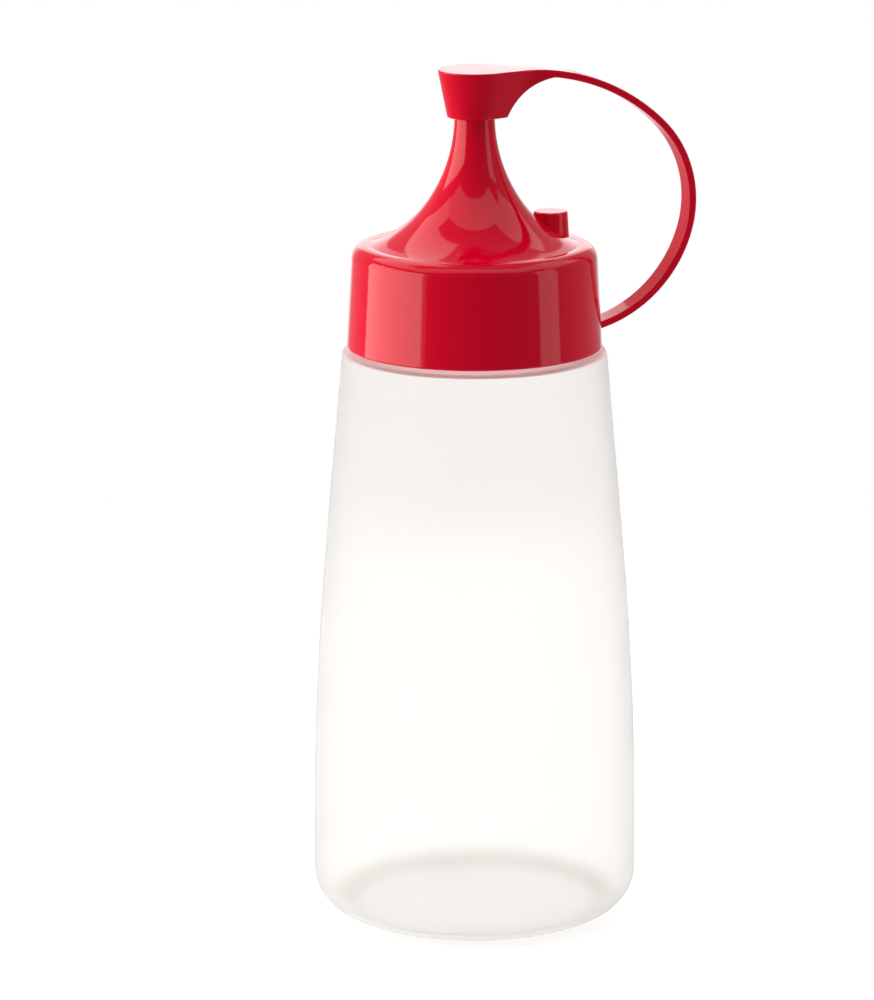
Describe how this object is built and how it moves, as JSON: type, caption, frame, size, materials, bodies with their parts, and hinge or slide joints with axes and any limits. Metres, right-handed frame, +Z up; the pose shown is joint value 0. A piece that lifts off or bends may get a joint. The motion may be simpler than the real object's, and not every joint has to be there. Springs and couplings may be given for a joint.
{
  "type": "squeeze bottle",
  "caption": "Tall round squeeze bottle for sauces with a screw closure, a flared nozzle and a tip cap tethered by a strap.",
  "frame": {"origin": "centre of the bottle's flat base, on the plane it stands on", "axes": "+Z up along the bottle's axis to the nozzle; the strap and the parking peg are on the +X side, and the XZ plane is the mirror plane"},
  "size_m": [0.0841, 0.07, 0.1844],
  "materials": {
    "bottle_plastic": "satin",
    "closure_plastic": "gloss"
  },
  "bodies": {
    "root": {"bottle": "bottle_plastic", "closure": "closure_plastic"}
  },
  "joints": []
}
